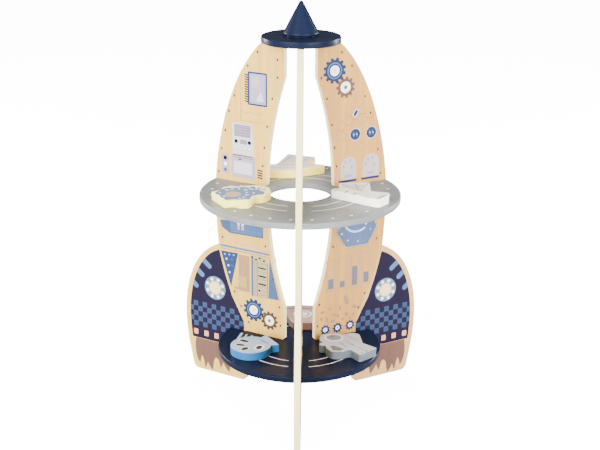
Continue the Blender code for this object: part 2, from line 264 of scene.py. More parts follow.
@dataclass(frozen=True)
class PrintInk:
    """Ink printed on wood, through which the grain still shows a little."""

    tone: Tone
    patchy: float = 0.12
    roughness: float = 0.42
    grain: tuple[float, float, float] = (240, 240, 14)

    def material(self, name: str) -> bpy.types.Material:
        """Return the ink's material."""
        bench = Bench(name)
        place = bench.place(scale=self.grain)
        streaks = bench.noise(place, 1.0, 4.0, 0.6)
        flat = bench.noise(bench.place(), 60.0, 2.0)
        tone = bench.blend(
            bench.remap(streaks, 0.35, 0.7), self.tone, darker(self.tone, 1 - self.patchy)
        )
        bench.colour(
            bench.blend(bench.remap(flat, 0.3, 0.75, 0.0, 0.5), tone, darker(self.tone, 1 - self.patchy))
        )
        bench.set(Coat_Weight=0.03, Coat_Roughness=0.3, Specular_IOR_Level=0.12)
        bench.roughness(bench.remap(streaks, 0.2, 0.8, self.roughness - 0.05, self.roughness + 0.08))
        bench.bump(streaks, 0.2, 0.1 * MM)
        return bench.material


@dataclass(frozen=True)
class BrushedPaint:
    """Paint over sanded wood: an even colour, faint filled grain and a clear top coat."""

    tone: Tone
    gloss: float = 0.3
    roughness: float = 0.4
    coat_roughness: float = 0.15
    specular: float = 0.12
    grain: tuple[float, float, float] = (14, 260, 260)
    depth: float = 0.1 * MM

    def material(self, name: str) -> bpy.types.Material:
        """Return the paint's material."""
        bench = Bench(name)
        grain = bench.noise(bench.place(scale=self.grain), 1.0, 3.0, 0.6)
        flow = bench.noise(bench.place(), 38.0, 2.0)
        tone = bench.blend(bench.remap(flow, 0.3, 0.7), self.tone, darker(self.tone, 0.86))
        bench.colour(bench.blend(bench.remap(grain, 0.45, 0.75, 0.0, 0.6), tone, darker(self.tone, 0.78)))
        bench.set(
            Coat_Weight=self.gloss, Coat_Roughness=self.coat_roughness,
            Specular_IOR_Level=self.specular,
        )
        bench.roughness(bench.remap(flow, 0.2, 0.8, self.roughness - 0.06, self.roughness + 0.1))
        bench.bump(grain, 0.3, self.depth)
        return bench.material


@dataclass(frozen=True)
class SawnFigure:
    """A loose figure sawn from board: one finish round its sides and another on its top."""

    side: Tone
    top: Tone
    fibre: float = 0.12
    roughness: float = 0.5
    grain: tuple[float, float, float] = (40, 40, 700)

    def material(self, name: str, top: float) -> bpy.types.Material:
        """Return the figure's material.

        Args:
            name: The material's name.
            top: The height of the figure's top face in metres.

        Returns:
            The material.
        """
        bench = Bench(name)
        place = bench.place()
        _, _, height = bench.parts(place)
        on_top = bench.remap(height, top - 0.5 * MM, top - 0.2 * MM)
        layers = bench.noise(bench.stretch(place, self.grain), 1.0, 3.0, 0.6)
        fleck = bench.noise(bench.stretch(place, (30, 320, 320)), 1.0, 3.0)
        side = bench.blend(bench.remap(layers, 0.35, 0.7), self.side, darker(self.side, 1 - self.fibre))
        top_tone = bench.blend(
            bench.remap(fleck, 0.4, 0.75), self.top, darker(self.top, 1 - self.fibre / 2)
        )
        bench.colour(bench.blend(on_top, side, top_tone))
        bench.set(Coat_Weight=0.15, Coat_Roughness=0.25, Specular_IOR_Level=0.4)
        bench.roughness(bench.remap(fleck, 0.2, 0.8, self.roughness - 0.06, self.roughness + 0.08))
        bench.bump(layers, 0.25, 0.12 * MM)
        return bench.material


@dataclass(frozen=True)
class TurnedBeech:
    """Bare beech, with short darker flecks along its length."""

    tone: Tone = (0.72, 0.5, 0.3)
    fleck: Tone = (0.5, 0.3, 0.16)

    def material(self, name: str) -> bpy.types.Material:
        """Return the wood's material."""
        bench = Bench(name)
        fleck = bench.noise(bench.place(scale=(900, 900, 60)), 1.0, 3.0)
        bench.colour(bench.blend(bench.remap(fleck, 0.45, 0.75), self.tone, self.fleck))
        bench.roughness(bench.remap(fleck, 0.2, 0.8, 0.5, 0.65))
        bench.bump(fleck, 0.3, 0.1 * MM)
        return bench.material


@dataclass(frozen=True)
class ZincSteel:
    """Bright zinc plate, a little brushed."""

    tone: Tone = (0.62, 0.64, 0.66)

    def material(self, name: str) -> bpy.types.Material:
        """Return the metal's material."""
        bench = Bench(name)
        brush = bench.noise(bench.place(scale=(300, 300, 2500)), 1.0, 2.0)
        bench.colour(bench.blend(brush, self.tone, darker(self.tone, 0.85)))
        bench.set(Metallic=1.0)
        bench.roughness(bench.remap(brush, 0.2, 0.8, 0.22, 0.38))
        bench.bump(brush, 0.15, 0.05 * MM)
        return bench.material


class Ink(Enum):
    """The printing inks and painted marks, each with its finish."""

    NAVY = PrintInk((0.010, 0.007, 0.022))
    SKY = PrintInk((0.045, 0.084, 0.170))
    STRIPE = PrintInk((0.070, 0.132, 0.275))
    BLUE = PrintInk((0.014, 0.028, 0.086))
    LADDER = PrintInk((0.38, 0.30, 0.165))
    DEEP_SKY = PrintInk((0.021, 0.042, 0.115))
    GLASS = PrintInk((0.085, 0.125, 0.230))
    RAIL = PrintInk((0.38, 0.225, 0.135))
    GLYPH = PrintInk((0.30, 0.170, 0.100))
    HAZE = PrintInk((0.25, 0.255, 0.39))
    STRAW = PrintInk((0.43, 0.285, 0.085))
    INKY = PrintInk((0.008, 0.013, 0.034))
    HONEYCOMB = PrintInk((0.26, 0.185, 0.125))
    CHECK = PrintInk((0.030, 0.052, 0.116))
    CHECK_CORE = PrintInk((0.023, 0.041, 0.098))
    PALE = PrintInk((0.530, 0.520, 0.570))
    MACHINE = PrintInk((0.330, 0.285, 0.370))
    SCREEN = PrintInk((0.215, 0.182, 0.225))
    WHITE = PrintInk((0.880, 0.880, 0.860))
    BLACK = PrintInk((0.005, 0.005, 0.006))
    PINK = PrintInk((0.660, 0.290, 0.190))
    BLUSH = PrintInk((0.330, 0.195, 0.090))
    FLAME = PrintInk((0.142, 0.074, 0.055))
    MAUVE = PrintInk((0.108, 0.058, 0.050))
    BROWN = PrintInk((0.060, 0.035, 0.026))
    CREAM = PrintInk((0.880, 0.660, 0.330))
    DOOR = PrintInk((0.450, 0.370, 0.360))
    RIVET = PrintInk((0.018, 0.014, 0.020))
    LINE = PrintInk((0.240, 0.145, 0.065))
    BAR = PrintInk((0.118, 0.117, 0.144))
    GREY = PrintInk((0.130, 0.135, 0.130))
    LAMP = PrintInk((0.125, 0.172, 0.235))
    FIN_WOOD = PrintInk((0.700, 0.455, 0.100))
    # The fin ground for side B: the bare wood ink painted darker, as painted shade.
    FIN_ROSE = PrintInk((0.600, 0.350, 0.145))
    TRACK = PrintInk((0.700, 0.700, 0.680))
    PORT = PrintInk((0.460, 0.400, 0.380))
    VISOR = PrintInk((0.190, 0.190, 0.210))
    LENS = PrintInk((0.120, 0.120, 0.095))
    SAND = PrintInk((0.400, 0.275, 0.190))
    COMET = PrintInk((0.082, 0.148, 0.280))

    def material(self) -> bpy.types.Material:
        """Return the ink's one material, made on its first use."""
        name = f"{self.name.lower()}_ink"
        return bpy.data.materials.get(name) or self.value.material(name)


# Shapes ---------------------------------------------------------------------------------------
def bezier(start: Point, first: Point, second: Point, end: Point, steps: int) -> list[Point]:
    """Return points along a cubic curve, both ends included."""
    corners = [Vector(p) for p in (start, first, second, end)]
    points = []
    for step in range(steps + 1):
        t = step / steps
        u = 1 - t
        shares = (u * u * u, 3 * u * u * t, 3 * u * t * t, t * t * t)
        point = sum((c * share for c, share in zip(corners, shares)), Vector((0, 0)))
        points.append((point.x, point.y))
    return points


def offset(points: Sequence[Point], distance: float) -> list[Point]:
    """Return an open run of points moved to its left by distance."""
    moved = []
    for index, point in enumerate(points):
        before = Vector(points[max(index - 1, 0)])
        after = Vector(points[min(index + 1, len(points) - 1)])
        along = (after - before).normalized()
        moved.append((point[0] - along.y * distance, point[1] + along.x * distance))
    return moved


def at_height(points: Sequence[Point], height: float) -> float:
    """Return the first coordinate of a run of points where its second one is height."""
    for (x0, y0), (x1, y1) in zip(points, points[1:]):
        if min(y0, y1) <= height <= max(y0, y1) and y0 != y1:
            return x0 + (x1 - x0) * (height - y0) / (y1 - y0)
    nearest = min(points, key=lambda p: abs(p[1] - height))
    return nearest[0]


def crossing(points: Sequence[Point], start: Vector, way: Vector) -> Vector:
    """Return where a ray from start first meets a run of points, or start if it never does."""
    best = None
    for first, second in zip(points, points[1:]):
        a, b = Vector(first), Vector(second)
        side = b - a
        slant = way.x * side.y - way.y * side.x
        if abs(slant) < 1e-9:
            continue
        gap = a - start
        reach = (gap.x * side.y - gap.y * side.x) / slant
        share = (gap.x * way.y - gap.y * way.x) / slant
        if reach > 0 and 0 <= share <= 1 and (best is None or reach < best):
            best = reach
    return start + way * (best or 0.0)


def finished(
    name: str, bm: bmesh.types.BMesh, materials: Iterable[bpy.types.Material], body: str,
    nodes: Sequence[str] = (),
) -> bpy.types.Object:
    """Turn a bmesh in the row frame into a piece that rides on a body.

    Args:
        name: The piece's name.
        bm: Its shape, which is freed.
        materials: Its materials, in the order of its faces' numbers.
        body: The CAD body that it moves with.
        nodes: The CAD nodes that it stands for.

    Returns:
        The piece.
    """
    bmesh.ops.recalc_face_normals(bm, faces=bm.faces)
    mesh = bpy.data.meshes.new(name)
    bm.to_mesh(mesh)
    bm.free()
    for material in materials:
        mesh.materials.append(material)
    piece = bpy.data.objects.new(name, mesh)
    bpy.context.scene.collection.objects.link(piece)
    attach(piece, body)
    if nodes:
        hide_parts(*nodes)
    log.info("%s: %d faces, on %s", name, len(mesh.polygons), body)
    return piece


def softened(node: str, edge: float, steps: int = 3) -> bmesh.types.BMesh:
    """Return a copy of a CAD node's shape with whole faces and rounded edges.

    Args:
        node: The CAD node.
        edge: How far each edge is rounded, in metres.
        steps: The number of facets round an edge.

    Returns:
        The shape, in the row frame.
    """
    bm = bmesh.new()
    bm.from_mesh(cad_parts[node].data)
    bmesh.ops.remove_doubles(bm, verts=bm.verts, dist=1e-6)
    bmesh.ops.dissolve_limit(bm, angle_limit=math.radians(1), verts=bm.verts, edges=bm.edges)
    sharp = [e for e in bm.edges if e.is_manifold and e.calc_face_angle() > math.radians(32)]
    bmesh.ops.bevel(
        bm, geom=sharp, offset=edge, offset_type="OFFSET", segments=steps, profile=0.5,
        affect="EDGES", material=-1, clamp_overlap=True,
    )
    return bm


def smooth(piece: bpy.types.Object) -> None:
    """Shade a piece smooth, with its large flat faces kept flat."""
    for polygon in piece.data.polygons:
        polygon.use_smooth = True
    piece.data.set_sharp_from_angle(angle=math.radians(40))
    modifier = piece.modifiers.new("face_weighted", "WEIGHTED_NORMAL")
    modifier.mode = "FACE_AREA"
    modifier.weight = 80
    modifier.keep_sharp = True


@dataclass(frozen=True)
class Plane:
    """A flat face that is printed on, in metres: its origin, two directions and outward normal."""

    origin: Vector
    across: Vector
    up: Vector
    out: Vector

    def matrix(self) -> Matrix:
        """Return the matrix that takes millimetres on the face to the row frame."""
        turn = Matrix((self.across, self.up, self.out)).transposed().to_4x4()
        return Matrix.Translation(self.origin) @ turn @ Matrix.Scale(MM, 4)


class Print:
    """Marks printed on one face, each a thin closed plate; sizes are in millimetres."""

    ROOT = -0.02
    FIRST = 0.05
    STEP = 0.035
    CORNER_STEPS = 4
    TOOTH_ROOT = 0.32
    TOOTH_TIP = 0.22

    def __init__(self, name: str, plane: Plane, body: str, slot: str) -> None:
        """Start an empty print.

        Args:
            name: The piece's name.
            plane: The face that it is printed on.
            body: The CAD body that it moves with.
            slot: A material slot's name; it is stored and not used.
        """
        self.name, self.plane, self.body, self.slot = name, plane, body, slot
        self.bm = bmesh.new()
        self.inks: list[Ink] = []

    def _raise(self, flat: list[bmesh.types.BMFace], ink: Ink, layer: int) -> None:
        """Give new flat faces their ink and thickness; a higher layer lies over a lower one."""
        if ink not in self.inks:
            self.inks.append(ink)
        number = self.inks.index(ink)
        before = set(self.bm.faces) - set(flat)
        grown = bmesh.ops.extrude_face_region(self.bm, geom=flat)["geom"]
        tops = [v for v in grown if isinstance(v, bmesh.types.BMVert)]
        height = self.FIRST + self.STEP * layer - self.ROOT
        bmesh.ops.translate(self.bm, verts=tops, vec=(0, 0, height))
        for face in self.bm.faces:
            if face not in before:
                face.material_index = number

    def polygon(self, points: Sequence[Point], ink: Ink, layer: int = 0, rounding: float = 0.0) -> None:
        """Print a polygon, with its corners rounded in plan if a rounding is given."""
        verts = [self.bm.verts.new((x, y, self.ROOT)) for x, y in points]
        face = self.bm.faces.new(verts)
        if rounding > 0:
            made = bmesh.ops.bevel(
                self.bm, geom=verts, offset=rounding, offset_type="OFFSET",
                segments=self.CORNER_STEPS, profile=0.5, affect="VERTICES", material=-1,
                clamp_overlap=True,
            )
            face = next(iter(made["verts"][0].link_faces))
        self._raise([face], ink, layer)

    def oval(
        self, x: float, y: float, rx: float, ry: float, ink: Ink, layer: int = 0, turn: float = 0.0,
        sides: int = 28,
    ) -> None:
        """Print an ellipse, turned by an angle in degrees."""
        spin = Matrix.Rotation(math.radians(turn), 4, "Z")
        place = Matrix.Translation((x, y, self.ROOT)) @ spin @ Matrix.Diagonal((rx, ry, 1, 1))
        made = bmesh.ops.create_circle(self.bm, cap_ends=True, segments=sides, radius=1.0, matrix=place)
        self._raise(list(made["verts"][0].link_faces), ink, layer)

    def disc(self, x: float, y: float, r: float, ink: Ink, layer: int = 0, sides: int = 36) -> None:
        """Print a round dot."""
        self.oval(x, y, r, r, ink, layer, sides=sides)

    def gear(
        self, x: float, y: float, tip: float, root: float, teeth: int, ink: Ink, layer: int = 0
    ) -> None:
        """Print a toothed wheel, each tooth narrower at its tip than at its root."""
        made = bmesh.ops.create_circle(
            self.bm, cap_ends=True, segments=teeth * 4, radius=root,
            matrix=Matrix.Translation((x, y, self.ROOT)),
        )
        ring = sorted(
            made["verts"], key=lambda v: math.atan2(v.co.y - y, v.co.x - x) % math.tau
        )
        spread = {0: (-self.TOOTH_ROOT, root), 1: (-self.TOOTH_TIP, tip),
                  2: (self.TOOTH_TIP, tip), 3: (self.TOOTH_ROOT, root)}
        for index, vert in enumerate(ring):
            tooth, corner = divmod(index, 4)
            share, reach = spread[corner]
            angle = (tooth + 0.5 + share) * math.tau / teeth
            vert.co = (x + reach * math.cos(angle), y + reach * math.sin(angle), self.ROOT)
        self._raise(list(ring[0].link_faces), ink, layer)

    def panel(
        self, x: float, y: float, width: float, height: float, ink: Ink, layer: int = 0,
        rounding: float = 0.0, turn: float = 0.0,
    ) -> None:
        """Print a rectangle round a centre, turned by an angle in degrees."""
        spin = Matrix.Rotation(math.radians(turn), 2)
        corners = ((-0.5, -0.5), (0.5, -0.5), (0.5, 0.5), (-0.5, 0.5))
        points = []
        for u, v in corners:
            corner = spin @ Vector((u * width, v * height))
            points.append((x + corner.x, y + corner.y))
        self.polygon(points, ink, layer, rounding)

    def bar(
        self, start: Point, end: Point, width: float, ink: Ink, layer: int = 0, rounded: bool = False
    ) -> None:
        """Print a straight bar from one point to another, with round or square ends."""
        a, b = Vector(start), Vector(end)
        middle = (a + b) / 2
        length = (b - a).length + (width if rounded else 0.0)
        turn = math.degrees(math.atan2(b.y - a.y, b.x - a.x))
        rounding = width * 0.49 if rounded else 0.0
        self.panel(middle.x, middle.y, length, width, ink, layer, rounding, turn)

    def stroke(
        self, points: Sequence[Point], width: float, ink: Ink, layer: int = 0, closed: bool = False
    ) -> None:
        """Print a thin line through points."""
        ends = list(points[1:]) + ([points[0]] if closed else [])
        for start, end in zip(points, ends):
            self.bar(start, end, width, ink, layer)

    def arc(
        self, x: float, y: float, r: float, start: float, end: float, width: float, ink: Ink,
        layer: int = 0,
    ) -> None:
        """Print a bowed line about a centre, from one angle to another in degrees."""
        steps = max(4, round(abs(end - start) / 4))
        way = Vector((math.cos(math.radians(start)), math.sin(math.radians(start)), 0))
        centre = Vector((x, y, self.ROOT))
        verts = [self.bm.verts.new(centre + way * (r + s * width / 2)) for s in (-1, 1)]
        edge = self.bm.edges.new(verts)
        known = set(self.bm.faces)
        bmesh.ops.spin(
            self.bm, geom=[*verts, edge], cent=centre, axis=UP, dvec=(0, 0, 0),
            angle=math.radians(end - start), steps=steps, use_merge=False,
        )
        self._raise([f for f in self.bm.faces if f not in known], ink, layer)

    def piece(self) -> bpy.types.Object:
        """Return the print as a finished piece."""
        bmesh.ops.transform(self.bm, matrix=self.plane.matrix(), verts=self.bm.verts)
        materials = [ink.material() for ink in self.inks]
        return finished(self.name, self.bm, materials, self.body)


# The rocket -----------------------------------------------------------------------------------
def axis_point() -> Vector:
    """Return the point where the rocket's axis meets the ground, from the nose cone's box."""
    low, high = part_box("nose_cone")
    middle = (low + high) / 2
    return Vector((middle.x, middle.y, 0))


class Side(Enum):
    """A board's two faces: seen from above, A is on its counter-clockwise side and B on the other."""

    A = 1
    B = -1


@dataclass
class Board:
    """One of the three printed boards; its print is laid out as radius and height in mm."""

    RIVETS_A = (
        (70, 529), (36, 521), (87, 507), (36, 495), (45, 463), (111, 460), (121, 435.5), (54, 420),
        (128, 405), (59, 387.5), (135, 376), (62, 359), (141, 339), (136, 234), (58, 233), (45, 182),
        (115, 148), (103, 126), (33, 139), (89, 102), (31, 109),
    )
    RIVETS_B = (
        (65, 530), (82.5, 508.5), (31, 495.5), (41, 464), (106, 461), (116.5, 435), (50, 424),
        (55, 389), (131, 377), (59, 360), (136.5, 339), (133, 235), (55, 234), (113, 148), (32, 144),
        (102, 126), (29, 109),
    )

    name: str
    angle: float
    finish: PrintedPly
    thickness: float = 9.0
    edge: float = 0.7
    fin_low: Sequence[Point] = ((196.5, 9), (203.5, 39), (208.7, 65), (208.7, 97))
    fin_high: Sequence[Point] = ((208.7, 97), (208.7, 160), (182, 209.5), (144, 220.5))
    fin_margin: float = 8.5
    ground_inset: float = 0.9
    foot: Sequence[Point] = ((103.5, 1.2), (186.5, 1.2), (193.2, 3.5), (195.2, 8.5))
    ground_back: Sequence[Point] = ((97.2, 77.5), (97.0, 8.5))
    field_bottom: float = 54.0
    body_line: Sequence[Point] = (
        (97.8, 89), (99.6, 110), (110.2, 133), (122.4, 158), (132.6, 186), (139.5, 212), (144.2, 220.2),
    )
    field_line: Sequence[Point] = (
        (97.9, 92), (98.3, 100.8), (109.5, 121.5), (120.0, 140), (131.0, 170.5), (137.6, 193),
        (142.6, 212.5),
    )
    field_back: float = 98.4
    check_pitch: float = 8.65
    check_rows: int = 5
    check_columns: int = 12
    check_corner: Point = (202.5, 74.4)
    check_core: float = 3.6
    stripe_width: float = 8.4
    stripes: Sequence[tuple[Point, Point]] = (
        ((178.4, 193.3), (162.2, 180.6)), ((189.6, 174.9), (176.0, 164.0)),
        ((197.8, 151.9), (187.8, 143.6)),
    )
    lamp: Point = (151.9, 146.2)
    bulbs: int = 8
    tabs: Sequence[float] = (190.3, 170.3, 150.8, 131.0)
    tab_height: float = 64.2

    def plane(self, side: Side) -> Plane:
        """Return the face on one side of the board, from the rocket's axis."""
        turn = math.radians(self.angle)
        across = Vector((math.sin(turn), -math.cos(turn), 0))
        out = Vector((math.cos(turn), math.sin(turn), 0)) * side.value
        return Plane(axis_point() + out * self.thickness / 2 * MM, across, UP, out)

    def build(self) -> None:
        """Build the board and both of its printed faces."""
        material = self.finish.material(
            f"{self.name}_ply", math.radians(self.angle), axis_point(), self.thickness * MM
        )
        bm = softened(self.name, self.edge * MM)
        board = finished(self.name + "_wood", bm, [material], "rocket", [self.name])
        smooth(board)
        for side in Side:
            sheet = Print(
                f"{self.name}_print_{side.name.lower()}", self.plane(side), "rocket", "printed_plywood"
            )
            # Side B's fin ground is painted darker than side A's, as painted shade.
            self.print_fin(sheet, Ink.FIN_WOOD if side is Side.A else Ink.FIN_ROSE)
            if side is Side.A:
                self.print_cabin_upper(sheet)
                self.print_cabin_lower(sheet)
                self.print_rivets(sheet, self.RIVETS_A)
            else:
                self.print_lab_upper(sheet)
                self.print_lab_lower(sheet)
                self.print_rivets(sheet, self.RIVETS_B)
            sheet.piece()

    def print_rivets(self, sheet: Print, places: Iterable[Point]) -> None:
        """Print rivet heads: a pale ring of light and a dark one beside it."""
        for x, z in places:
            sheet.oval(x + 0.5, z, 1.7, 2.1, Ink.LINE, 1)
            sheet.oval(x - 0.2, z, 1.1, 1.8, Ink.RIVET, 2)

    def fin_edge(self, inset: float) -> list[Point]:
        """Return the fin's outer edge moved inwards, from the foot up to the shoulder."""
        curve = bezier(*self.fin_low, 8) + bezier(*self.fin_high, 22)[1:]
        return offset(curve, inset)

    def print_fin(self, sheet: Print, wood: Ink) -> None:
        """Print the fin: its bare ground, the dark field, lamp, stripes, check band and flames.

        Args:
            sheet: The face's print.
            wood: The ink of the ground; on side B it is the bare wood ink painted darker, as painted
                shade.
        """
        above_foot = self.foot[-1][1] + 1.0
        ground = [p for p in self.fin_edge(self.ground_inset) if p[1] > above_foot][:-1]
        sheet.polygon([*self.foot, *ground, *self.body_line[::-1], *self.ground_back], wood)
        edge = self.fin_edge(self.fin_margin)
        peak = self.field_line[-1][0] + 0.8
        outer = [p for p in edge if p[1] > self.field_bottom and p[0] > peak]
        corner = (at_height(edge, self.field_bottom), self.field_bottom)
        back = [(self.field_back, 77.5), (self.field_back, self.field_bottom)]
        sheet.polygon([corner, *outer, *self.field_line[::-1], *back], Ink.NAVY, 1)
        self.print_stripes(sheet, edge)
        self.print_lamp(sheet)
        self.print_check(sheet, edge)
        for x in self.tabs:
            sheet.panel(x, self.tab_height, 8.3, 9.4, Ink.PINK, 2, rounding=1.6)
            sheet.panel(x, self.tab_height, 1.1, 4.4, Ink.BLUSH, 3, rounding=0.4)
        self.print_flames(sheet)

    def print_stripes(self, sheet: Print, edge: Sequence[Point]) -> None:
        """Print the slanted stripes, round at their inner ends and cut off by the field's edge."""
        width = self.stripe_width
        cap_steps = 8
        for outer, inner in self.stripes:
            start, way = Vector(inner), (Vector(outer) - Vector(inner)).normalized()
            side = Vector((-way.y, way.x)) * width / 2
            cap = []
            for step in range(cap_steps + 1):
                angle = math.pi / 2 + math.pi * step / cap_steps
                cap.append(start + way * math.cos(angle) * width / 2 + side * math.sin(angle))
            ends = [crossing(edge, start - side, way), crossing(edge, start + side, way)]
            sheet.polygon([tuple(p) for p in cap + ends], Ink.STRIPE, 2)

    def print_lamp(self, sheet: Print) -> None:
        """Print the round lamp with its ring of bulbs."""
        x, z = self.lamp
        sheet.disc(x, z, 19.7, Ink.STRIPE, 2, sides=48)
        sheet.disc(x, z, 19.0, Ink.LAMP, 3, sides=48)
        for bulb in range(self.bulbs):
            angle = math.tau * (bulb + 0.5) / self.bulbs
            bx, bz = x + 15.0 * math.cos(angle), z + 15.0 * math.sin(angle)
            sheet.disc(bx, bz, 3.2, Ink.PALE, 4, sides=18)
            sheet.disc(bx, bz, 1.9, Ink.WHITE, 5, sides=18)
        sheet.disc(x, z, 11.6, Ink.LADDER, 4)
        sheet.disc(x, z, 10.7, Ink.CREAM, 5)

    def print_check(self, sheet: Print, edge: Sequence[Point]) -> None:
        """Print the check band, cut off by the field's edges."""
        pitch, gap, least = self.check_pitch, 0.8, 1.0
        lowest = self.field_line[0][1] + 0.5
        start, base = self.check_corner
        for row in range(self.check_rows):
            low, high = base + row * pitch, base + (row + 1) * pitch
            for column in range(1 - row % 2, self.check_columns, 2):
                right = start - column * pitch
                left = right - pitch
                spans = []
                for z in (low, high):
                    inner = max(left, at_height(self.field_line, max(z, lowest)) + gap)
                    spans.append((inner, min(right, at_height(edge, z))))
                narrowest = min(end - begin for begin, end in spans)
                if narrowest < least:
                    continue
                (low_left, low_right), (high_left, high_right) = spans
                square = [(low_left, low), (low_right, low), (high_right, high), (high_left, high)]
                sheet.polygon(square, Ink.CHECK, 2)
                if narrowest > pitch - 0.1:
                    x, z = right - pitch / 2, (low + high) / 2
                    sheet.panel(x, z, self.check_core, self.check_core, Ink.CHECK_CORE, 3)

    def print_flames(self, sheet: Print) -> None:
        """Print the flames below the field, with bare flames that rise between their tongues."""
        top = self.field_bottom - 0.5
        runs = (
            ((190.7, top), (194.5, 36), (191.5, 18), (184, 10)),
            ((184, 10), (181.9, 14), (181.8, 20), (180, 24)),
            ((180, 24), (176.2, 21.5), (174.6, 11), (173.4, 2.6)),
            ((173.4, 2.6), (171.6, 6.5), (169.6, 11), (168.6, 16)),
            ((168.6, 16), (167.2, 10.5), (162.5, 5), (159.2, 2.2)),
            ((159.2, 2.2), (157.2, 11), (157.5, 26), (151.6, 26)),
            ((151.6, 26), (147.2, 26), (145.6, 17), (143.8, 9.2)),
            ((143.8, 9.2), (141.8, 13), (139.6, 17), (138.4, 21.2)),
            ((138.4, 21.2), (136.5, 15), (131, 10), (127, 6.5)),
            ((127, 6.5), (125.6, 12), (125.5, 22), (121.5, 22)),
            ((121.5, 22), (118, 22), (115.5, 16), (114, 12)),
        )
        points: list[Point] = []
        for run in runs:
            points += bezier(*run, 7)[:-1]
        points += [(114, 12), (113, top)]
        sheet.polygon(points, Ink.FLAME, 1)

    def print_cabin_upper(self, sheet: Print) -> None:
        """Print the upper cabin wall: a tablet, a drinks machine, a switch panel and vents."""
        sheet.panel(70.75, 474, 33.5, 50, Ink.BLUE, 1, rounding=2.0)
        sheet.panel(70.5, 474, 28.6, 45.0, Ink.HAZE, 2, rounding=1.0)
        sheet.panel(70.8, 474.2, 24.0, 40.0, Ink.MACHINE, 3, rounding=1.0)
        sheet.polygon([(60.0, 456), (73, 456), (65, 471)], Ink.PALE, 4)
        sheet.oval(74, 484, 6.0, 9.0, Ink.DOOR, 4, turn=20)
        for coil in range(12):
            z = 453.5 + coil * 3.6
            sheet.bar((87.6, z), (92.4, z + 0.9), 2.1, Ink.INKY, 1, rounded=True)
        sheet.polygon([(78.5, 372), (115.7, 372), (115.7, 419), (82.5, 419), (78.5, 396)], Ink.PALE, 1)
        sheet.panel(97.8, 407.8, 29.0, 18.5, Ink.SCREEN, 2, rounding=1.0)
        for line in range(4):
            z = 402.5 + line * 4.0
            sheet.bar((86, z), (109.5, z), 0.6, Ink.MACHINE, 3)
        sheet.panel(96.5, 352.5, 43.0, 35.0, Ink.MACHINE, 1, rounding=1.6)
        sheet.panel(96.0, 391, 12.5, 7.0, Ink.SCREEN, 3, rounding=0.8)
        for x in (109.0, 85.5):
            sheet.disc(x, 391, 4.0, Ink.PALE, 3)
            sheet.disc(x, 391, 3.1, Ink.BLACK, 4)
        for dot in range(4):
            sheet.disc(112 - dot * 8.5, 380, 2.6, Ink.MACHINE, 3, sides=20)
            sheet.disc(111.5 - dot * 8.5, 380.5, 1.7, Ink.WHITE, 4, sides=20)
        sheet.bar((80, 369.4), (116, 369.4), 1.8, Ink.SKY, 3)
        sheet.bar((78.5, 366.2), (115.5, 366.2), 0.8, Ink.BAR, 3)
        sheet.oval(102.6, 363.6, 2.8, 1.1, Ink.INKY, 4)
        sheet.panel(97.2, 350.6, 33.0, 19.0, Ink.PALE, 3, rounding=0.8)
        sheet.panel(129, 353.5, 13.5, 31.0, Ink.MACHINE, 1, rounding=2.0)
        sheet.disc(129, 362.3, 3.3, Ink.BLACK, 2)
        sheet.disc(129, 352.8, 3.0, Ink.WHITE, 2)
        sheet.disc(129, 343.8, 2.8, Ink.SKY, 2)
        for slat in range(4):
            z = 339.3 + slat * 3.8
            sheet.bar((62.6, z), (71.8, z + 0.7), 2.3, Ink.INKY, 1)
        faint = 0.55
        sheet.stroke([(101, 503), (101, 424), (56, 424)], faint, Ink.LINE)
        sheet.stroke([(101, 437), (60, 437)], faint, Ink.LINE)

    def print_cabin_lower(self, sheet: Print) -> None:
        """Print the lower cabin wall: windows, shelves, a ladder, a door and two gears."""
        sheet.polygon([(141, 262), (62, 268), (62, 245), (123, 243), (137, 251)], Ink.SKY, 1)
        sheet.polygon([(62, 265.5), (122, 261.5), (120, 245.5), (64.5, 247.5)], Ink.STRIPE, 2)
        for shelf in range(3):
            z = 250.0 + shelf * 5.0
            sheet.bar((65, z + 0.6), (121, z - 0.6), 0.7, Ink.SKY, 3)
        for x in (99.0, 106.5):
            sheet.panel(x, 257, 4.5, 11.5, Ink.PINK, 3, rounding=1.8)
            sheet.disc(x, 261.5, 2.4, Ink.WHITE, 4, sides=18)
        sheet.bar((52.5, 226), (114, 229), 3.2, Ink.PINK, 1)
        sheet.bar((50.6, 220.6), (140.5, 220.6), 3.4, Ink.STRIPE, 1)
        sheet.bar((50.9, 216.6), (139.5, 216.0), 1.2, Ink.BAR, 1)
        sheet.polygon([(140.0, 211.6), (107.9, 212.6), (121.4, 154.6)], Ink.DEEP_SKY, 1)
        for x, z, r in (
            (132.5, 207, 1.1), (124, 207.5, 1.1), (116, 208, 1.1), (129.5, 199.5, 1.7),
            (126, 189.5, 1.7), (124, 178.5, 1.7),
        ):
            sheet.disc(x, z, r, Ink.PALE, 2, sides=14)
        for x, z in ((119.5, 200), (119.2, 190)):
            sheet.bar((x - 2.8, z), (x + 2.8, z), 1.6, Ink.SKY, 2, rounded=True)
        sheet.panel(97, 181.5, 20.5, 59.5, Ink.BLUSH, 1, rounding=0.8)
        sheet.panel(100.6, 167.0, 15.0, 17.5, Ink.STRAW, 2, rounding=1.0)
        sheet.bar((87, 155.5), (116, 154.8), 3.4, Ink.BLUSH, 2)
        sheet.panel(69.5, 181.0, 29.5, 68.0, Ink.LADDER, 1)
        sheet.bar((82.0, 148), (82.0, 213), 3.2, Ink.SKY, 2)
        for x, width in ((54.4, 1.5), (73.2, 1.5), (77.4, 0.9)):
            sheet.bar((x, 148.6), (x, 206), width, Ink.BAR, 2)
        for rung in range(9):
            z = 152.5 + rung * 6.3
            sheet.bar((55.5, z), (72.5, z), 0.7, Ink.BAR, 2)
        for z in (196, 182.5, 169.5):
            sheet.bar((57.4, z), (71.2, z + 0.4), 2.4, Ink.BLACK, 3)
        for x, z in ((82.3, 211.4), (75.1, 208.6), (68.2, 212), (60.8, 208.7), (69.2, 158.9)):
            sheet.oval(x, z, 1.9, 1.7, Ink.BLACK, 3, sides=16)
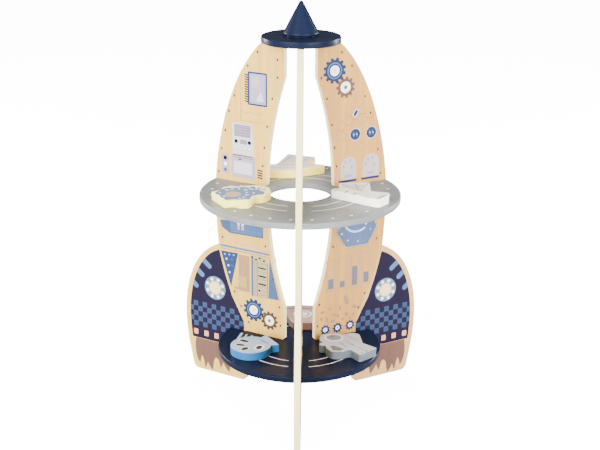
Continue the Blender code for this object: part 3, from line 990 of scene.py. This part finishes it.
        sheet.polygon([(50.8, 217), (53.0, 149), (33.8, 150)], Ink.SKY, 1)
        self.print_gear(sheet, 80.0, 124.4, 18.8, Ink.BLUE, Ink.STRIPE, 12)
        self.print_small_gear(sheet, 51.2, 112.8, 15.4, Ink.BROWN, 11)

    def print_gear(
        self, sheet: Print, x: float, z: float, tip: float, outer: Ink, ring: Ink, teeth: int
    ) -> None:
        """Print a large gear with a bright ring and a pale centre."""
        sheet.gear(x, z, tip, tip * 0.82, teeth, outer, 1)
        sheet.disc(x, z, tip * 0.64, ring, 2)
        sheet.disc(x, z, tip * 0.54, outer, 3)
        sheet.disc(x, z, tip * 0.41, Ink.WHITE, 4)
        sheet.disc(x, z, tip * 0.13, Ink.CREAM, 5)

    def print_small_gear(
        self, sheet: Print, x: float, z: float, tip: float, outer: Ink, teeth: int
    ) -> None:
        """Print a gear with a broad pale centre and a hub."""
        sheet.gear(x, z, tip, tip * 0.8, teeth, outer, 1)
        sheet.disc(x, z, tip * 0.55, Ink.CREAM, 2)
        sheet.disc(x, z, tip * 0.49, Ink.WHITE, 3)
        sheet.disc(x, z, tip * 0.17, outer, 4)
        sheet.disc(x, z, tip * 0.08, Ink.GREY, 5)

    def print_lab_upper(self, sheet: Print) -> None:
        """Print the upper laboratory wall: gears, a honeycomb, badges and two arched doors."""
        self.print_gear(sheet, 53.6, 504.0, 19.2, Ink.BLUE, Ink.STRIPE, 12)
        self.print_small_gear(sheet, 72.4, 477.8, 16.0, Ink.MAUVE, 11)
        sheet.oval(90.6, 437.4, 4.0, 6.6, Ink.PALE, 2, turn=-32)
        sheet.oval(90.6, 437.4, 2.5, 5.2, Ink.BLUE, 3, turn=-32)
        across, up, radius = 12.6, 14.6, 8.2
        for column, row in (
            (0, 0), (1, 0), (0, 1), (2, 2), (3, 1), (4, 2), (4, 1), (2, 0), (3, -1), (2, 1), (3, 2),
            (1, 2), (3, -2), (1, 1),
        ):
            x, z = 65.2 + column * across, 406.0 + row * up + column % 2 * up / 2
            cell = [
                (x + radius * math.cos(math.radians(a)), z + radius * math.sin(math.radians(a)))
                for a in range(0, 360, 60)
            ]
            sheet.stroke(cell, 0.6, Ink.HONEYCOMB, closed=True)
        for x in (90.5, 118.5):
            sheet.disc(x, 405, 9.2, Ink.PALE, 1)
            sheet.disc(x, 405, 8.5, Ink.BLUE, 2)
            for shift in (-2.6, 2.6):
                sheet.oval(x + shift, 405, 1.6, 4.6, Ink.SKY, 3, turn=10)
                sheet.disc(x + shift, 405, 1.1, Ink.PALE, 4, sides=16)
        for left, right, bar_left, bar_right in ((66.5, 93.5, 63.0, 94.5), (105.0, 133.5, 102.5, 134.0)):
            middle, radius = (left + right) / 2, (right - left) / 2
            arch = [
                (middle + radius * math.cos(math.radians(a)), 358.0 + radius * math.sin(math.radians(a)))
                for a in range(0, 181, 12)
            ]
            sheet.polygon([(left, 337.0), (right, 337.0), *arch], Ink.DOOR, 1)
            for x, z, turn in ((-5.5, 364, 30), (2.5, 365.5, -30), (-9.5, 357.5, -50), (5.5, 355, 20)):
                sheet.oval(middle + x, z, 1.8, 3.2, Ink.HAZE, 2, turn=turn)
            sheet.panel(middle - 1, 342.5, 12, 3.6, Ink.HAZE, 2)
            sheet.bar((bar_left, 334.6), (bar_right, 334.6), 3.6, Ink.BLUE, 2)

    def print_lab_lower(self, sheet: Print) -> None:
        """Print the lower laboratory wall: the star window, a level meter, glyphs and gears."""
        window = [(77, 227), (117, 227), (134.4, 256), (117, 284), (77, 284), (59.5, 254.8)]
        centre = Vector((97, 255.5))
        sheet.polygon(window, Ink.BLACK, 1)
        dash, gap = 1.15, 2.1
        for first, second in zip(window, window[1:] + window[:1]):
            a, b = Vector(first), Vector(second)
            way = (b - a).normalized()
            inwards = (centre - (a + b) / 2).normalized() * 1.5
            marks = int((b - a).length / (dash + gap))
            for mark in range(marks):
                start = a + inwards + way * (mark * (dash + gap) + gap / 2)
                sheet.bar(tuple(start), tuple(start + way * dash), 2.2, Ink.WHITE, 2)
        glass = [tuple(centre + (Vector(p) - centre) * 0.895) for p in window]
        sheet.polygon(glass, Ink.GLASS, 3)
        sheet.disc(90, 262, 14.5, Ink.STRIPE, 4)
        sheet.arc(97, 277, 25.0, 215, 305, 3.0, Ink.PALE, 5)
        for x, z, r in ((70, 252, 1.6), (81, 240, 1.4), (113, 262, 1.7), (121, 252, 1.2), (99, 236, 1.3)):
            sheet.disc(x, z, r, Ink.PALE, 5, sides=14)
        for left, right, low, high, top in (
            (47.2, 56.6, 166, 182.2, 212), (67.8, 76.8, 165, 175.5, 216), (89.6, 99.2, 165, 196.5, 217),
            (110.4, 119.6, 166, 183.4, 217),
        ):
            middle = (left + right) / 2
            sheet.stroke(
                [(left - 2.2, low - 4), (right + 2.2, low - 4), (right + 2.2, top), (left - 2.2, top)],
                1.9, Ink.RAIL, 1, closed=True,
            )
            sheet.panel(middle, (low + high) / 2, right - left, high - low, Ink.BAR, 2)
        for x, z, width, height in (
            (80, 143, 6.5, 16), (69, 132, 4.0, 6.5), (95, 129, 7.5, 6), (103, 127, 4, 5), (38, 130, 7, 4),
            (46, 116, 4.5, 10), (58, 122, 9, 3), (66, 119, 5, 5), (56, 112, 7, 5), (81, 119, 6, 5),
            (93, 116, 6, 4), (74, 112, 5, 4), (36, 119, 4, 6), (87, 111, 4, 4), (50, 134, 4, 4),
        ):
            sheet.panel(x, z, width, height, Ink.GLYPH, 1, rounding=1.2, turn=(x * z) % 50 - 25)
        for x, z in ((43, 100), (65, 99.3), (87.6, 99.5)):
            sheet.gear(x, z, 8.6, 6.8, 9, Ink.BLUE, 1)
            sheet.disc(x, z, 3.7, Ink.WHITE, 2, sides=24)
            sheet.disc(x, z, 1.4, Ink.BLUE, 3, sides=14)


@dataclass
class Deck:
    """A painted round deck with its printed orbits and, on the middle one, its row of dots."""

    name: str
    finish: BrushedPaint
    slot: str
    arcs: Sequence[float]
    clearance: float
    dot_ring: float = 0.0
    dots: int = 28
    first_dot: float = -4.9
    dot_clearance: float = 8.0
    edge: float = 0.5

    def build(self) -> None:
        """Build the deck and its print."""
        bm = softened(self.name, self.edge * MM)
        deck = finished(
            self.name + "_board", bm, [self.finish.material(self.name + "_paint")], "rocket",
            [self.name],
        )
        smooth(deck)
        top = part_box(self.name)[1].z
        plane = Plane(axis_point() + UP * top, Vector((1, 0, 0)), Vector((0, 1, 0)), UP)
        sheet = Print(self.name + "_print", plane, "rocket", self.slot)
        for radius in self.arcs:
            spare = math.degrees(math.asin(self.clearance / radius))
            for board in BOARD_TURNS:
                sheet.arc(0, 0, radius, board + spare, board + 120 - spare, 1.7, Ink.TRACK)
        if self.dot_ring > 0:
            for dot in range(self.dots):
                angle = math.radians(self.first_dot - 90 + dot * 360 / self.dots)
                x, y = self.dot_ring * math.cos(angle), self.dot_ring * math.sin(angle)
                if self.beside_board(x, y):
                    continue
                sheet.disc(x, y, 2.1, Ink.TRACK, sides=20)
        sheet.piece()

    def beside_board(self, x: float, y: float) -> bool:
        """Return whether a point in millimetres from the axis lies on or against a board."""
        for board in BOARD_TURNS:
            angle = math.radians(board)
            along = x * math.cos(angle) + y * math.sin(angle)
            across = abs(-x * math.sin(angle) + y * math.cos(angle))
            if along > 0 and across < self.dot_clearance:
                return True
        return False


@dataclass
class Top:
    """The crown disc, the nose cone and their hidden fixings; sizes in millimetres."""

    finish: BrushedPaint
    edge: float = 0.5
    radius: float = 25.2
    foot: float = 1.5
    foot_radius: float = 21.5
    base_round: float = 2.5
    tip_radius: float = 3.2
    arc_steps: int = 8
    sides: int = 96

    def build(self) -> None:
        """Build the disc and the cone and dress the dowels and the screw."""
        paint = self.finish.material("crown_paint")
        crown = finished(
            "crown_board", softened("crown_disc", self.edge * MM), [paint], "rocket",
            ["crown_disc"],
        )
        smooth(crown)
        cone = finished("nose_turning", self.cone(), [paint], "rocket", ["nose_cone"])
        smooth(cone)
        beech, zinc = TurnedBeech().material("beech"), ZincSteel().material("zinc")
        for name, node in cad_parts.items():
            if "dowel" in name:
                node.data.materials.clear()
                node.data.materials.append(beech)
            elif "screw" in name:
                node.data.materials.clear()
                node.data.materials.append(zinc)

    def cone(self) -> bmesh.types.BMesh:
        """Return the turned cone, in the row frame."""
        low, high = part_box("nose_cone")
        height = (high.z - low.z) / MM
        slope = math.atan2(self.radius - self.tip_radius, height - self.foot - self.base_round)
        shoulder = (self.radius - self.base_round, self.foot + self.base_round)
        profile = [(0.0, 0.0), (self.foot_radius, 0.0), (self.foot_radius, self.foot)]
        for centre, radius, start in ((shoulder, self.base_round, -math.pi / 2),
                                      ((0.0, height - self.tip_radius), self.tip_radius, slope)):
            end = slope if start < 0 else math.pi / 2
            for step in range(self.arc_steps + 1):
                angle = start + (end - start) * step / self.arc_steps
                way = (math.cos(angle), math.sin(angle))
                profile.append((centre[0] + radius * way[0], centre[1] + radius * way[1]))
        bm = bmesh.new()
        verts = [bm.verts.new((max(r, 0.0), 0, z)) for r, z in profile]
        edges = [bm.edges.new(pair) for pair in zip(verts, verts[1:])]
        bmesh.ops.spin(
            bm, geom=verts + edges, cent=(0, 0, 0), axis=UP, dvec=(0, 0, 0), angle=math.tau,
            steps=self.sides, use_merge=True,
        )
        bmesh.ops.remove_doubles(bm, verts=bm.verts, dist=1e-4)
        place = Matrix.Translation(axis_point() + UP * low.z) @ Matrix.Scale(MM, 4)
        bmesh.ops.transform(bm, matrix=place, verts=bm.verts)
        return bm


# Loose play figures ---------------------------------------------------------------------------
@dataclass
class Figure:
    """A loose figure; its print is laid out in millimetres across and back from the axis."""

    name: str
    finish: SawnFigure
    slot: str
    edge: float = 0.7

    def build(self) -> None:
        """Build the figure and the print on its top."""
        node = self.name + "_figure"
        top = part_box(node)[1].z
        piece = finished(
            self.name + "_board", softened(node, self.edge * MM),
            [self.finish.material(self.name + "_finish", top)], self.name, [node],
        )
        smooth(piece)
        plane = Plane(axis_point() + UP * top, Vector((1, 0, 0)), Vector((0, 1, 0)), UP)
        sheet = Print(self.name + "_print", plane, self.name, self.slot)
        self.decorate(sheet)
        sheet.piece()

    def decorate(self, sheet: Print) -> None:
        """Print this figure's own marks."""
        raise NotImplementedError


class Comet(Figure):
    """A comet with a bright head and a streaked tail."""

    def decorate(self, sheet: Print) -> None:
        """Print the head, the tail and the flecks."""
        head = [
            (-122, -54), (-117, -42), (-110, -30), (-104, -27), (-96, -26.5), (-86, -22), (-74, -24),
            (-68, -19), (-62, -25), (-55, -30), (-58, -38), (-50, -45), (-52, -58), (-61, -60.5),
            (-68, -66), (-70, -82), (-77, -80), (-84, -84), (-92, -82), (-104, -86), (-106, -78),
            (-112, -72), (-113, -62),
        ]
        sheet.polygon(head, Ink.COMET, 0, rounding=1.2)
        sheet.oval(-95, -58, 11.5, 13.5, Ink.SAND, 1)
        for x, y, r in (
            (-105, -38, 2.2), (-98, -33, 1.7), (-88, -30, 2.0), (-78, -36, 2.2), (-76, -48, 1.6),
            (-75, -60, 2.1), (-79, -71, 1.6), (-107, -68, 1.8), (-114, -50, 1.6), (-84, -77, 1.7),
            (-69, -34, 1.6), (-66, -50, 1.7),
        ):
            sheet.oval(x, y, r * 1.6, r * 0.8, Ink.WHITE, 1, turn=x * 7 % 180, sides=14)
        for streak in range(7):
            angle = math.radians(148 - streak * 19)
            start = Vector((-63, -40)) + Vector((math.cos(angle), math.sin(angle))) * 6
            end = Vector((-63, -40)) + Vector((math.cos(angle), math.sin(angle) * 0.9)) * 17
            sheet.bar(tuple(start), tuple(end), 2.3, Ink.WHITE if streak % 2 else Ink.COMET, 2)


class Satellite(Figure):
    """A satellite with a panel on each side of its body."""

    def decorate(self, sheet: Print) -> None:
        """Print the struts, the slots and the panel."""
        hub = (86, -36)
        for end in ((60.6, -5), (80, -1.5), (99.7, 2.4)):
            sheet.bar(hub, end, 1.3, Ink.GREY, 1)
        for start, end in (((48.5, -38), (55, -30)), ((70, -34), (64, -46)), ((81, -45), (76, -57))):
            sheet.bar(start, end, 2.2, Ink.GREY, 1)
        sheet.bar((109, -74), (122, -54), 2.6, Ink.GREY, 1)
        sheet.polygon([(86, -60), (97.5, -72), (112, -46), (101, -38)], Ink.TRACK, 0)
        sheet.polygon([(62, -2), (62, -18), (84, -32), (95, -6)], Ink.PALE, 0)
        sheet.oval(87, -34, 4.0, 4.0, Ink.PINK, 2, sides=20)


class Shuttle(Figure):
    """A winged shuttle with plain panels."""

    def decorate(self, sheet: Print) -> None:
        """Print the hull's seams and its windows."""
        sheet.stroke([(-88, 88), (-42, 82), (-12, 80), (20, 98)], 1.0, Ink.GREY, 1)
        sheet.stroke([(-36, 99), (-8, 98), (12, 104)], 1.0, Ink.GREY, 1)
        sheet.stroke([(-30, 108), (-14, 150)], 1.0, Ink.GREY, 1)
        sheet.stroke([(0, 108), (12, 144)], 1.0, Ink.GREY, 1)
        for x in (-70, -60, -50):
            sheet.disc(x, 78, 2.4, Ink.VISOR, 1, sides=18)


class Pod(Figure):
    """A round pod with leaf-shaped ports and an aerial."""

    def decorate(self, sheet: Print) -> None:
        """Print the rim, the ports and the window."""
        for start, end, width in (
            ((-90.0, -21.5), (-75.5, -29.5), 8.0), ((-95.3, -38.0), (-80.4, -42.2), 7.6),
            ((-85.0, -59), (-76.0, -48.5), 8.6),
        ):
            a, b = Vector(start), Vector(end)
            turn = math.degrees(math.atan2(b.y - a.y, b.x - a.x))
            middle = (a + b) / 2
            sheet.oval(middle.x, middle.y, (b - a).length / 2 + 1.0, width / 2 + 0.8, Ink.WHITE, 1, turn)
            sheet.oval(middle.x, middle.y, (b - a).length / 2, width / 2, Ink.BLACK, 2, turn)
        sheet.panel(-59.6, -48.7, 12.5, 17, Ink.WHITE, 1, rounding=3.5, turn=-20)
        sheet.panel(-59.6, -48.7, 8.6, 13, Ink.RIVET, 2, rounding=2.5, turn=-20)
        sheet.stroke([(-58.4, -19.5), (-53.8, -27.7), (-45.4, -35.7)], 2.0, Ink.BAR, 1)
        sheet.stroke([(-63, -14), (-50, -30)], 0.8, Ink.BAR, 1)


class Astronaut(Figure):
    """A suited astronaut with a closed visor."""

    def decorate(self, sheet: Print) -> None:
        """Print the visor, the suit's seams and its buttons."""
        sheet.oval(52.5, -9.5, 14.2, 13.2, Ink.TRACK, 1)
        sheet.oval(52.5, -9.5, 11.8, 10.8, Ink.VISOR, 2)
        sheet.oval(49.5, -6.5, 4.5, 2.2, Ink.BAR, 3, turn=30)
        lens = [(46.4, -40.5), (51.5, -38.8), (60.5, -45.0), (67.3, -52.3), (59.6, -57.9), (50.7, -55.8)]
        sheet.polygon(lens, Ink.LENS, 1, rounding=1.6)
        for x, y in ((66.4, -30.9), (80.2, -33.7)):
            sheet.disc(x, y, 1.5, Ink.VISOR, 1, sides=16)
        for start, end in (
            ((85.4, -42.6), (102.1, -56)), ((91, -66), (110.7, -49)), ((69.6, 1.3), (89.9, -20.6)),
            ((60, -25), (72, -46)), ((70, -22), (84, -40)),
        ):
            sheet.bar(start, end, 1.3, Ink.GREY, 1)


class Capsule(Figure):
    """A return capsule with a round port."""

    def decorate(self, sheet: Print) -> None:
        """Print the pale top and the port's rings."""
        sheet.disc(4, 82, 15.0, Ink.WHITE, 1, sides=44)
        sheet.disc(4, 82, 12.0, Ink.PORT, 2, sides=44)
        sheet.disc(4, 82, 8.0, Ink.WHITE, 3, sides=36)
        sheet.stroke([(-8, 50), (18, 50)], 1.2, Ink.MAUVE, 1)
        sheet.stroke([(-24, 104), (34, 104)], 1.2, Ink.MAUVE, 1)


# The studio -----------------------------------------------------------------------------------
@dataclass(frozen=True)
class Softbox:
    """A large square lamp that faces the rocket."""

    name: str
    place: tuple[float, float, float]
    size: float
    power: float
    aim: tuple[float, float, float] = (0.0, 0.0, 0.28)

    def hang(self) -> None:
        """Add the lamp to the scene."""
        data = bpy.data.lights.new(self.name, "AREA")
        data.shape = "SQUARE"
        data.size = self.size
        data.energy = self.power
        lamp = bpy.data.objects.new(self.name, data)
        lamp.location = self.place
        way = Vector(self.aim) - Vector(self.place)
        lamp.rotation_euler = way.to_track_quat("-Z", "Y").to_euler()
        bpy.context.scene.collection.objects.link(lamp)


@dataclass(frozen=True)
class Studio:
    """The plain pale floor, the soft light and the camera."""

    floor_size: float = 40.0
    floor_tone: Tone = (0.9, 0.9, 0.9)
    floor_glow: float = 13.0
    floor_bounce: float = 0.28
    sky_low: float = 0.12
    sky_high: float = 0.9
    sky_rise: tuple[float, float] = (0.25, 0.8)
    backdrop: float = 14.0
    lens: float = 74.8874
    camera_place: tuple[float, float, float] = (0.02155, -1.73022, 0.8704)
    camera_turn: tuple[float, float, float] = (71.2947, -0.2993, 0.8053)
    lamps: Sequence[Softbox] = (
        Softbox("key_softbox", (-1.5, -2.4, 1.25), 2.0, 390.0),
        Softbox("fill_softbox", (1.7, -2.3, 1.1), 2.0, 290.0),
        Softbox("top_softbox", (0.0, -0.5, 2.6), 1.6, 20.0),
        Softbox("rear_softbox", (0.2, 1.6, 2.6), 1.6, 12.0),
        Softbox("left_rear_softbox", (-2.25, 1.3, 0.55), 0.9, 185.0),
        Softbox("right_rear_softbox", (2.25, 1.3, 0.55), 0.9, 185.0),
    )

    def build(self) -> None:
        """Add the floor, the lamps, the sky and the camera."""
        self.lay_floor()
        self.light_sky()
        for lamp in self.lamps:
            lamp.hang()
        data = bpy.data.cameras.new("camera")
        data.lens = self.lens
        data.sensor_width = 36.0
        camera = bpy.data.objects.new("camera", data)
        camera.location = self.camera_place
        camera.rotation_euler = [math.radians(a) for a in self.camera_turn]
        bpy.context.scene.collection.objects.link(camera)
        bpy.context.scene.camera = camera

    def lay_floor(self) -> None:
        """Add the floor, which glows white like a light table."""
        bm = bmesh.new()
        bmesh.ops.create_grid(bm, x_segments=1, y_segments=1, size=self.floor_size / 2)
        mesh = bpy.data.meshes.new("floor")
        bm.to_mesh(mesh)
        bm.free()
        bench = Bench("floor_white")
        bench.set(Roughness=0.9, Specular_IOR_Level=0.0)
        bench.shader.inputs["Emission Color"].default_value = (1, 1, 1, 1)
        path = bench.nodes.new("ShaderNodeLightPath")
        seen = path.outputs["Is Camera Ray"]
        bench.colour(bench.blend(seen, darker(self.floor_tone, self.floor_bounce), self.floor_tone))
        glow = bench.remap(seen, 0, 1, 0.0, self.floor_glow)
        bench.links.new(glow, bench.shader.inputs["Emission Strength"])
        mesh.materials.append(bench.material)
        floor = bpy.data.objects.new("floor", mesh)
        bpy.context.scene.collection.objects.link(floor)

    def light_sky(self) -> None:
        """Light the scene from a sky that is dim at the horizon and bright overhead."""
        world = bpy.data.worlds.new("studio_sky")
        world.use_nodes = True
        bpy.context.scene.world = world
        nodes, links = world.node_tree.nodes, world.node_tree.links
        background = nodes["Background"]
        background.inputs["Color"].default_value = (1, 1, 1, 1)
        place = nodes.new("ShaderNodeTexCoord")
        split = nodes.new("ShaderNodeSeparateXYZ")
        links.new(place.outputs["Generated"], split.inputs["Vector"])
        height = nodes.new("ShaderNodeMapRange")
        numbers = (*self.sky_rise, self.sky_low, self.sky_high)
        for name, value in zip(("From Min", "From Max", "To Min", "To Max"), numbers):
            height.inputs[name].default_value = value
        links.new(split.outputs["Z"], height.inputs["Value"])
        path = nodes.new("ShaderNodeLightPath")
        choice = nodes.new("ShaderNodeMix")
        links.new(path.outputs["Is Camera Ray"], choice.inputs["Factor"])
        links.new(height.outputs["Result"], choice.inputs["A"])
        choice.inputs["B"].default_value = self.backdrop
        links.new(choice.outputs["Result"], background.inputs["Strength"])


def main() -> None:
    """Build the studio, the rocket and the loose figures, in that order."""
    logging.basicConfig(level=logging.INFO, format="%(message)s")
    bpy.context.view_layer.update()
    Studio().build()
    # Side B's face tone is painted darker than side A's: painted shade, not a different print.
    lit_and_shaded_ply = PrintedPly((0.70, 0.44, 0.090), (0.51, 0.255, 0.070))
    Board("front_board", 0.0, lit_and_shaded_ply).build()
    Board("right_board", 120.0, lit_and_shaded_ply).build()
    Board("left_board", -120.0, lit_and_shaded_ply).build()
    navy = BrushedPaint(
        (0.0054, 0.0084, 0.0222), gloss=0.04, roughness=0.32, coat_roughness=0.1, specular=0.04
    )
    grey = BrushedPaint((0.168, 0.180, 0.180), gloss=0.15, roughness=0.45)
    Deck("lower_deck", navy, "navy_paint", (67.0, 87.0), 15.0).build()
    Deck("middle_deck", grey, "grey_paint", (72.0, 93.0), 17.0, dot_ring=131.0).build()
    Top(navy).build()
    natural = SawnFigure((0.93, 0.79, 0.15), (0.86, 0.75, 0.42))
    Comet("comet", natural, "natural_figure").build()
    lavender = SawnFigure((0.93, 0.73, 0.13), (0.86, 0.76, 0.66))
    Shuttle("shuttle", lavender, "natural_figure").build()
    white = SawnFigure((0.92, 0.92, 0.86), (0.70, 0.70, 0.60), fibre=0.04)
    Satellite("satellite", white, "white_figure").build()
    sky_blue = SawnFigure((0.006, 0.092, 0.240), (0.26, 0.34, 0.44), fibre=0.06)
    Pod("pod", sky_blue, "blue_figure").build()
    ash = SawnFigure((0.092, 0.112, 0.124), (0.35, 0.355, 0.375), fibre=0.06)
    Astronaut("astronaut", ash, "grey_figure").build()
    brown = SawnFigure((0.100, 0.044, 0.028), (0.44, 0.265, 0.235), fibre=0.2)
    Capsule("capsule", brown, "brown_figure").build()


if __name__ == "__main__":
    main()
